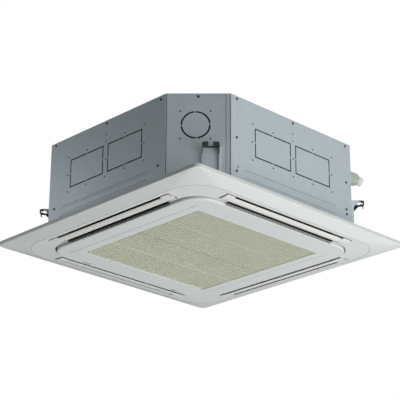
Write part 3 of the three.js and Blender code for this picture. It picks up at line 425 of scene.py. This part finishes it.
# The foam liner gets a near-black foam: painted shade of the unit's dark inside, seen through the
# slits.
nodes["foam_liner"].data.materials[0] = foamLinerShade
print("materials set")

bodyOf = {name: body for body, names in frame["record"]["behaviour"]["bodies"].items()
          for name in names}
copying = {"merge": 0.00001, "flat": 0.5, "segments": 2}


# A node's moulded or folded form with its edges rounded and its curves smooth.
def roundedCopy(node, name, material, width, sharp=30):
    source = nodes[node]
    twin = source.copy()
    twin.data = source.data.copy()
    twin.name = name
    twin.data.name = name
    scene.collection.objects.link(twin)
    pick(twin)
    bpy.ops.object.mode_set(mode="EDIT")
    bpy.ops.mesh.select_all(action="SELECT")
    bpy.ops.mesh.remove_doubles(threshold=copying["merge"])
    bpy.ops.mesh.dissolve_limited(angle_limit=math.radians(copying["flat"]))
    leaveEdit()
    if width:
        bevel = twin.modifiers.new("edges", "BEVEL")
        bevel.width = width
        bevel.segments = copying["segments"]
        bevel.limit_method = "ANGLE"
        bevel.angle_limit = math.radians(sharp)
        bevel.use_clamp_overlap = True
        applyModifiers(twin)
    pick(twin)
    bpy.ops.object.shade_smooth_by_angle(angle=math.radians(sharp))
    even = twin.modifiers.new("even shading", "WEIGHTED_NORMAL")
    even.keep_sharp = True
    applyModifiers(twin)
    dress(twin, material, bodyOf[node])
    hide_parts(node)
    return twin


# ---- camera, lights and floor

cameraView = {
    "lens": 137.19, "azimuth": 46.07, "elevation": -21.96, "distance": 5.029,
    "roll": 0.43, "aside": -0.00211, "up": 0.14102, "sensor": 36, "farthest": 60,
}


def setCamera(values):
    azimuth = math.radians(values["azimuth"])
    elevation = math.radians(values["elevation"])
    roll = math.radians(values["roll"])
    back = Vector((math.sin(azimuth) * math.cos(elevation), -math.cos(azimuth) * math.cos(elevation),
                   math.sin(elevation)))
    right = Vector((math.cos(azimuth), math.sin(azimuth), 0))
    up = back.cross(right)
    place = back * values["distance"] + right * values["aside"] + up * values["up"]
    turnedRight = right * math.cos(roll) + up * math.sin(roll)
    turnedUp = up * math.cos(roll) - right * math.sin(roll)
    bpy.ops.object.camera_add()
    camera = bpy.context.object
    camera.name = "photoCamera"
    camera.data.lens = values["lens"]
    camera.data.sensor_width = values["sensor"]
    camera.data.clip_end = values["farthest"]
    turn = Matrix((turnedRight, turnedUp, back)).transposed().to_4x4()
    camera.matrix_world = Matrix.Translation(place) @ turn
    scene.camera = camera


# The floor lies far below, so that the unit can be looked up at and lit from under it.
stageValues = {
    "ambient": 0.19, "ambientColor": (0.93, 0.96, 1, 1), "backdrop": (1, 1, 1, 1),
    "floorLevel": -7.5, "floorSize": 40, "floorRoughness": 0.7, "floorClouds": 0.6,
    "floorTones": [(0.3, (0.79, 0.79, 0.78)), (0.7, (0.81, 0.81, 0.80))], "aim": (0, 0, 0.1),
}
lightValues = {
    "right": {"place": (5.2, 0.4, -1.0), "size": 4.0, "power": 72, "color": (1, 1, 1)},
    "rightLow": {"place": (4.0, 1.5, -3.0), "size": 4.0, "power": 134, "color": (1, 1, 1)},
    "under": {"place": (0.8, 0.8, -2.9), "size": 2.4, "power": 53, "color": (1, 1, 1)},
    "left": {"place": (-1.1, -1.1, 0.35), "size": 0.6, "power": 1.25, "color": (0.95, 0.98, 1.0)},
    "top": {"place": (1.0, 1.0, 5.0), "size": 4.0, "power": 187, "color": (1, 1, 1)},
}


def setLights(lights):
    for name, values in lights.items():
        bpy.ops.object.light_add(type="AREA", location=values["place"])
        light = bpy.context.object
        light.name = name + "Light"
        light.data.size = values["size"]
        light.data.energy = values["power"]
        light.data.color = values["color"]
        aim = Vector(stageValues["aim"]) - Vector(values["place"])
        light.rotation_euler = aim.to_track_quat("-Z", "Y").to_euler()


def setWorld(ambient):
    world = bpy.data.worlds.new("studio")
    scene.world = world
    world.use_nodes = True
    tree = world.node_tree
    lit = tree.nodes["Background"]
    lit.inputs["Color"].default_value = stageValues["ambientColor"]
    lit.inputs["Strength"].default_value = ambient
    seen = tree.nodes.new("ShaderNodeBackground")
    seen.inputs["Color"].default_value = stageValues["backdrop"]
    seen.inputs["Strength"].default_value = 1
    path = tree.nodes.new("ShaderNodeLightPath")
    mix = tree.nodes.new("ShaderNodeMixShader")
    tree.links.new(path.outputs["Is Camera Ray"], mix.inputs["Fac"])
    tree.links.new(lit.outputs["Background"], mix.inputs[1])
    tree.links.new(seen.outputs["Background"], mix.inputs[2])
    tree.links.new(mix.outputs["Shader"], tree.nodes["World Output"].inputs["Surface"])


def layFloor(level):
    bpy.ops.mesh.primitive_plane_add(size=stageValues["floorSize"], location=(0, 0, level))
    floor = bpy.context.object
    floor.name = "floor"
    tones = stageValues["floorTones"]
    material, tree, shader = newMaterial("floor paint", tones[0][1], stageValues["floorRoughness"])
    soft = addNoise(tree, addCoordinates(tree), stageValues["floorClouds"])
    tree.links.new(addRamp(tree, soft, tones), shader.inputs["Base Color"])
    floor.data.materials.append(material)


scene.view_settings.view_transform = "Standard"
setCamera(cameraView)
setLights(lightValues)
setWorld(stageValues["ambient"])
layFloor(stageValues["floorLevel"])
print("camera, lights and floor set")


# ---- casing screws and pilot holes

screw = {
    "radius": 0.0039, "rise": 0.0016, "sides": 20, "smooth": 40,
    "rim": 0.35, "crown": 0.15, "land": 0.2, "lip": 0.08, "sink": 0.0009,
}
pilot = {
    "radius": 0.0028, "thick": 0.0003, "proud": 0.00005, "sides": 10, "rim": 0.3, "sink": 0.00012,
}


def makeScrew():
    bpy.ops.mesh.primitive_cylinder_add(vertices=screw["sides"], radius=screw["radius"],
                                        depth=screw["rise"], location=(0, 0, screw["rise"] / 2))
    head = bpy.context.object
    settle(head)
    editFaces(head, lambda face: face.normal.z > squareTo)
    bpy.ops.mesh.inset(thickness=screw["radius"] * screw["rim"], depth=screw["rise"] * screw["crown"])
    bpy.ops.mesh.inset(thickness=screw["radius"] * screw["land"], depth=0)
    bpy.ops.mesh.inset(thickness=screw["radius"] * screw["lip"], depth=-screw["sink"])
    leaveEdit()
    pick(head)
    bpy.ops.object.shade_smooth_by_angle(angle=math.radians(screw["smooth"]))
    return head


# A pilot hole's dark disc, a hair proud: painted shade of the hole's inside.
def makePilot():
    bpy.ops.mesh.primitive_cylinder_add(vertices=pilot["sides"], radius=pilot["radius"],
                                        depth=pilot["thick"], location=(0, 0, pilot["proud"]))
    disc = bpy.context.object
    settle(disc)
    editFaces(disc, lambda face: face.normal.z > squareTo)
    bpy.ops.mesh.inset(thickness=pilot["radius"] * pilot["rim"], depth=-pilot["sink"])
    leaveEdit()
    return disc


def facing(x, u, z, turn):
    stand = Matrix.Rotation(math.radians(turn), 4, "Z") @ Matrix.Translation((x, u, z))
    return stand @ Matrix.Rotation(math.radians(90), 4, "Y")


def spread(sample, places, name):
    copies = []
    for place in places:
        twin = sample.copy()
        twin.data = sample.data.copy()
        scene.collection.objects.link(twin)
        twin.data.transform(place)
        copies.append(twin)
    return joinPieces(copies, name)


# Places are (sideways, level). The front and back have screws of their own.
casing = {
    "out": 0.420, "cornerOut": 0.49206,
    "screws": [(-0.2533, 0.2966), (0.0, 0.2956), (0.2526, 0.2952), (-0.254, 0.1659),
               (-0.2548, 0.055), (0.2535, 0.1659), (0.2513, 0.0713), (0.2525, 0.0546)],
    "frontScrews": [(-0.2539, 0.2967), (0.002, 0.2955), (0.257, 0.2927), (0.2477, 0.0736),
                    (-0.2497, 0.0718)],
    "pilots": [(-0.184, 0.233), (-0.092, 0.233), (0.0, 0.233), (0.092, 0.233), (0.183, 0.233),
               (-0.184, 0.112), (-0.092, 0.112), (0.0, 0.112), (0.092, 0.112), (0.183, 0.112),
               (-0.185, 0.172), (0.001, 0.172), (0.182, 0.172), (-0.001, 0.2575),
               (-0.2483, 0.0701)],
    "pipePlate": (-0.16, -0.01),
    "cornerPilots": [(-0.0552, 0.1543), (0.0377, 0.1543), (-0.0552, 0.2473), (0.0377, 0.2473)],
    "cornerScrew": (-0.0003, 0.2962),
}
ductCorners = ("front_right", "back_left")


# The back has no pilot holes where its pipe plate is.
def pilotPlaces(side):
    low, high = casing["pipePlate"]
    return [(u, z) for u, z in casing["pilots"] if side != "back" or u > high or u < low]


screwSample = makeScrew()
pilotSample = makePilot()
for side, turn in sideTurns.items():
    places = casing["frontScrews" if side in ("front", "back") else "screws"]
    screws = spread(screwSample, [facing(casing["out"], u, z, turn) for u, z in places],
                    "screws_" + side)
    dress(screws, darkSteelAndHookShade, "housing")
    pilots = spread(pilotSample, [facing(casing["out"], u, z, turn) for u, z in pilotPlaces(side)],
                    "pilots_" + side)
    dress(pilots, holeShadow, "housing")
for corner, turn in cornerTurns.items():
    top = spread(screwSample, [facing(casing["cornerOut"], *casing["cornerScrew"], turn)],
                 "screw_" + corner)
    dress(top, darkSteelAndHookShade, "housing")
    if corner in ductCorners:
        holes = spread(pilotSample, [facing(casing["cornerOut"], u, z, turn)
                                     for u, z in casing["cornerPilots"]], "pilots_" + corner)
        dress(holes, holeShadow, "housing")
bpy.data.objects.remove(screwSample)
bpy.data.objects.remove(pilotSample)
print("casing screws made")


# Dark lines a hair proud: painted shadow in the knock-outs' slits, painted shade under the ribs and
# beside the folds.
# ringTab is an angle, half of the tab between two arcs.
lines = {
    "proud": 0.00015, "rim": 0.2, "width": 0.0040, "tab": 0.004,
    "starts": (0.0097, -0.174), "long": 0.163, "base": 0.124, "tall": 0.098,
    "ribs": (0.0418, 0.0678), "ribFrom": -0.214, "ribTo": 0.201, "ribWidth": 0.0027,
    "fold": 0.0975, "foldWidth": 0.0022, "foldLow": 0.024, "foldHigh": 0.303, "foldOut": 0.49356,
    "ringAt": -0.008, "ringLevel": 0.201, "ringRadius": 0.045, "ringTab": 0.045, "ringSteps": 14,
}


def makeBar(out, u, z, long, tall):
    bar = makeBlock((out, u, z), (2 * lines["proud"], long, tall))
    editFaces(bar, lambda face: face.normal.x > squareTo)
    bpy.ops.mesh.inset(thickness=min(long, tall) * lines["rim"], depth=0)
    leaveEdit()
    return bar


# Painted shadow on the four sides of one knock-out's slit, each in two bars with a tab left between.
def knockOutBars(out, start):
    width, tab = lines["width"], lines["tab"]
    end, top = start + lines["long"], lines["base"] + lines["tall"]
    bars = []
    half = (lines["long"] - tab) / 2
    for z in (lines["base"] + width / 2, top - width / 2):
        for u in (start + half / 2, end - half / 2):
            bars.append(makeBar(out, u, z, half, width))
    half = (lines["tall"] - tab) / 2
    for u in (start + width / 2, end - width / 2):
        for z in (lines["base"] + half / 2, top - half / 2):
            bars.append(makeBar(out, u, z, width, half))
    return bars


# One arc of the painted shadow in a round knock-out's slit.
def ringArc(out, quarter):
    first = math.radians(90 * quarter) + lines["ringTab"]
    bpy.ops.mesh.primitive_plane_add(size=1)
    arc = bpy.context.object
    arc.scale = (2 * lines["proud"], lines["width"], 1)
    arc.location = (0, lines["ringRadius"] - lines["width"] / 2, 0)
    settle(arc)
    arc.data.transform(Matrix.Rotation(first, 4, "X"))
    editFaces(arc, lambda face: True)
    bpy.ops.mesh.spin(steps=lines["ringSteps"], angle=math.pi / 2 - 2 * lines["ringTab"],
                      center=(0, 0, 0), axis=(1, 0, 0))
    bpy.ops.mesh.select_all(action="SELECT")
    bpy.ops.mesh.normals_make_consistent(inside=False)
    leaveEdit()
    arc.data.transform(Matrix.Translation((out, lines["ringAt"], lines["ringLevel"])))
    return arc


def dressTurned(sample, name, turn, material):
    twin = copyTurned(sample, name, turn)
    dress(twin, material, "housing")


slitSample = joinPieces([bar for start in lines["starts"]
                         for bar in knockOutBars(casing["out"], start)], "slits")
# Painted shade lines under the two ribs and beside the corner folds.
ribMiddle, ribLong = (lines["ribFrom"] + lines["ribTo"]) / 2, lines["ribTo"] - lines["ribFrom"]
ribSample = joinPieces([makeBar(casing["out"], ribMiddle, z, ribLong, lines["ribWidth"])
                        for z in lines["ribs"]], "ribShade")
foldMiddle = (lines["foldLow"] + lines["foldHigh"]) / 2
foldTall = lines["foldHigh"] - lines["foldLow"]
foldSample = joinPieces([makeBar(lines["foldOut"], u, foldMiddle, lines["foldWidth"], foldTall)
                         for u in (-lines["fold"], lines["fold"])], "foldShade")
ringSample = joinPieces([ringArc(casing["cornerOut"], quarter) for quarter in range(4)], "ring")
for side, turn in sideTurns.items():
    dressTurned(ribSample, "ribShade_" + side, turn, shadeLineGrey)
    if side != "back":
        dressTurned(slitSample, "slitShadow_" + side, turn, slitShadowBlack)
for corner, turn in cornerTurns.items():
    dressTurned(foldSample, "foldShade_" + corner, turn, shadeLineGrey)
    if corner in ductCorners:
        dressTurned(ringSample, "ring_" + corner, turn, slitShadowBlack)
for sample in (slitSample, ribSample, foldSample, ringSample):
    bpy.data.objects.remove(sample)
print("casing lines made")


# ---- decoration panel, vanes and door

# Width of the rounded edges, and the angle in degrees above which an edge stays sharp.
softEdge = {
    "panel": (0, 9), "door": (0, 32), "vane": (0.0004, 35), "latch": (0.0006, 30),
    "collar": (0.001, 30), "socket": (0.0006, 30), "hanger": (0.0006, 30),
}

roundedCopy("panel_frame", "panelMoulding", panelPlastic, *softEdge["panel"])
for corner in cornerTurns:
    roundedCopy("corner_cover_" + corner, "cornerCover_" + corner, panelPlastic, *softEdge["panel"])

# The blade between its ends is a little narrower than the swept solid.
vaneTrim = {
    "reach": 0.2487,
    "inner": {"between": (0.370, 0.3757), "move": 0.0028},
    "outer": {"between": (0.3994, 0.4036), "move": -0.0013},
}


def trimVane(piece, turn):
    outward, along = directions(turn)
    for edge in (vaneTrim["inner"], vaneTrim["outer"]):
        low, high = edge["between"]
        editPoints(piece, lambda place: low < place.dot(outward) < high
                   and abs(place.dot(along)) < vaneTrim["reach"])
        bpy.ops.transform.translate(value=outward * edge["move"])
        leaveEdit()


for side, turn in sideTurns.items():
    blade = roundedCopy("vane_" + side, "vaneBlade_" + side, vanePlastic, *softEdge["vane"])
    trimVane(blade, turn)
roundedCopy("intake_door_frame", "doorMoulding", panelPlastic, *softEdge["door"])
for number in ("1", "2"):
    roundedCopy("door_latch_" + number, "latchKnob_" + number, panelPlastic, *softEdge["latch"])
roundedCopy("drain_collar", "stubCollar", stubGreen, *softEdge["collar"])
roundedCopy("drain_socket", "stubEnd", stubClear, *softEdge["socket"])

# Painted shade: the hook and the cheeks' inner faces get the dark steel as painted shade; the rest is
# the pale hanger sheet.
hanger = {"plateFace": 0.4956, "hookFrom": 0.099, "middle": 0.039}
hangerShift = {"front_right": 1, "back_right": -1, "back_left": 1, "front_left": -1}


def shadeHook(piece, corner, turn):
    piece.data.materials.append(darkSteelAndHookShade)
    outward, along = directions(turn)
    middle = hanger["middle"] * hangerShift[corner]
    for face in piece.data.polygons:
        beyond = face.center.dot(outward) > hanger["plateFace"]
        sideways = face.normal.dot(along)
        inner = sideways * (middle - face.center.dot(along)) > 0 and abs(sideways) > squareTo
        if beyond and (face.center.z > hanger["hookFrom"] or inner):
            face.material_index = 1


for corner, turn in cornerTurns.items():
    bracket = roundedCopy("hanger_bracket_" + corner, "hanger_" + corner, hangerSheetLightened,
                          *softEdge["hanger"])
    shadeHook(bracket, corner, turn)
print("panel dressed")


# Fine painted shade line where the panel's flat land turns into its sloping border.
ridge = {
    "half": 0.4265, "corner": 0.110, "segments": 12, "width": 0.0013, "level": -0.0249,
    "proud": 0.0004,
}


def makeRidgeLine():
    bpy.ops.mesh.primitive_plane_add(size=2 * ridge["half"], location=(0, 0, ridge["level"]))
    line = bpy.context.object
    settle(line)
    pick(line)
    bpy.ops.object.mode_set(mode="EDIT")
    bpy.ops.mesh.select_all(action="SELECT")
    bpy.ops.mesh.bevel(offset=ridge["corner"], segments=ridge["segments"], affect="VERTICES")
    bpy.ops.mesh.select_all(action="SELECT")
    bpy.ops.mesh.inset(thickness=ridge["width"], depth=0)
    bpy.ops.mesh.delete(type="FACE")
    bpy.ops.mesh.select_all(action="SELECT")
    bpy.ops.mesh.extrude_region_move(TRANSFORM_OT_translate={"value": (0, 0, -ridge["proud"])})
    bpy.ops.mesh.select_all(action="SELECT")
    bpy.ops.mesh.normals_make_consistent(inside=False)
    leaveEdit()
    line.name = "ridgeLine"
    dress(line, ridgeShadeGrey, "housing")


makeRidgeLine()
print("ridge shade line made")


# Painted shadow strip along the outer edge of the two slots the camera faces, standing for the gap
# there, and small arms at the ends of their vanes in the same painted shadow black.
slotEdge = {
    "from": 0.4122, "width": 0.0026, "reach": 0.2425, "level": -0.02505, "thick": 0.0002,
    "armOut": 0.3685, "armWidth": 0.009, "armAt": (0.2505, 0.2620), "armLong": 0.0022,
    "armLow": -0.0268, "armHigh": -0.0245, "rim": 0.2,
}


def slotBar(place, size):
    bar = makeBlock(place, size)
    editFaces(bar, lambda face: face.normal.z < -squareTo)
    bpy.ops.mesh.inset(thickness=min(size[0], size[1]) * slotEdge["rim"], depth=0)
    leaveEdit()
    return bar


def makeSlotParts():
    armLevel = (slotEdge["armLow"] + slotEdge["armHigh"]) / 2
    armSize = (slotEdge["armWidth"], slotEdge["armLong"], slotEdge["armHigh"] - slotEdge["armLow"])
    made = [slotBar((slotEdge["from"] + slotEdge["width"] / 2, 0, slotEdge["level"]),
                    (slotEdge["width"], 2 * slotEdge["reach"], slotEdge["thick"]))]
    for sign in (-1, 1):
        for place in slotEdge["armAt"]:
            made.append(slotBar((slotEdge["armOut"], sign * place, armLevel), armSize))
    return joinPieces(made, "slotShade")


slotSample = makeSlotParts()
for side in ("right", "front"):
    strip = copyTurned(slotSample, "slotShade_" + side, sideTurns[side])
    dress(strip, slitShadowBlack, "housing")
bpy.data.objects.remove(slotSample)
print("slot edges made")


# Comb of short upright teeth along the door's side wall, beside each outlet.
comb = {
    "reach": 0.240, "pitch": 0.006, "tooth": 0.0026, "rise": 0.0013, "rim": 0.0005,
    "low": -0.0347, "high": -0.0245, "wall": 0.357,
}
combLevel, combTall = (comb["high"] + comb["low"]) / 2, comb["high"] - comb["low"]


def makeComb():
    tooth = makeBlock((comb["wall"] + comb["rise"] / 2, -comb["reach"], combLevel),
                      (comb["rise"], comb["tooth"], combTall))
    editFaces(tooth, lambda face: face.normal.x > squareTo)
    bpy.ops.mesh.inset(thickness=comb["rim"], depth=0)
    leaveEdit()
    makeRow(tooth, (0, comb["pitch"], 0), int(2 * comb["reach"] / comb["pitch"]) + 1)
    return tooth


combSample = makeComb()
# A dark strip on the wall behind the teeth: painted shade.
combShadeSample = makeBar(comb["wall"], 0, combLevel, 2 * comb["reach"], combTall)
# The left wall has none: the latches slide out there.
for side in ("right", "back", "front"):
    row = copyTurned(combSample, "doorComb_" + side, sideTurns[side])
    dress(row, panelPlastic, "intake_door")
    shadeStrip = copyTurned(combShadeSample, "combShade_" + side, sideTurns[side])
    dress(shadeStrip, combShade, "intake_door")
bpy.data.objects.remove(combSample)
bpy.data.objects.remove(combShadeSample)
print("door comb made")


# ---- grille

# Fine bars under the grille's slats, square to them.
crossBar = {
    "half": 0.2675, "pitch": 0.0065, "width": 0.0028, "low": -0.0343, "high": -0.0331,
    "rim": 0.0003, "rise": 0.0002,
}


def makeCrossBars():
    bar = makeBlock((-crossBar["half"], 0, (crossBar["high"] + crossBar["low"]) / 2),
                    (crossBar["width"], 2 * crossBar["half"], crossBar["high"] - crossBar["low"]))
    editFaces(bar, lambda face: face.normal.z < -squareTo)
    bpy.ops.mesh.inset(thickness=crossBar["rim"], depth=crossBar["rise"])
    leaveEdit()
    makeRow(bar, (crossBar["pitch"], 0, 0), int(2 * crossBar["half"] / crossBar["pitch"]) + 1)
    bar.name = "grilleBars"
    dress(bar, grillePlastic, "intake_door")


makeCrossBars()
print("grille bars made")


# Pale pointed teeth where the slats meet the door along its latch side.
teeth = {
    "pitch": 0.0098, "reach": 0.2645, "root": -0.2725, "long": 0.016, "width": 0.0056, "tip": 0.3,
    "low": -0.0352, "high": -0.0342,
}


def makeTeeth():
    tooth = makeBlock((teeth["root"] + teeth["long"] / 2, -teeth["reach"],
                       (teeth["high"] + teeth["low"]) / 2),
                      (teeth["long"], teeth["width"], teeth["high"] - teeth["low"]))
    editFaces(tooth, lambda face: face.normal.x > squareTo)
    tipPlace = (teeth["root"] + teeth["long"], -teeth["reach"], teeth["low"])
    bpy.ops.transform.resize(value=(1, teeth["tip"], 1), center_override=tipPlace)
    leaveEdit()
    makeRow(tooth, (0, teeth["pitch"], 0), int(2 * teeth["reach"] / teeth["pitch"]) + 1)
    tooth.name = "grilleTeeth"
    dress(tooth, toothWhite, "intake_door")


makeTeeth()
print("grille teeth made")
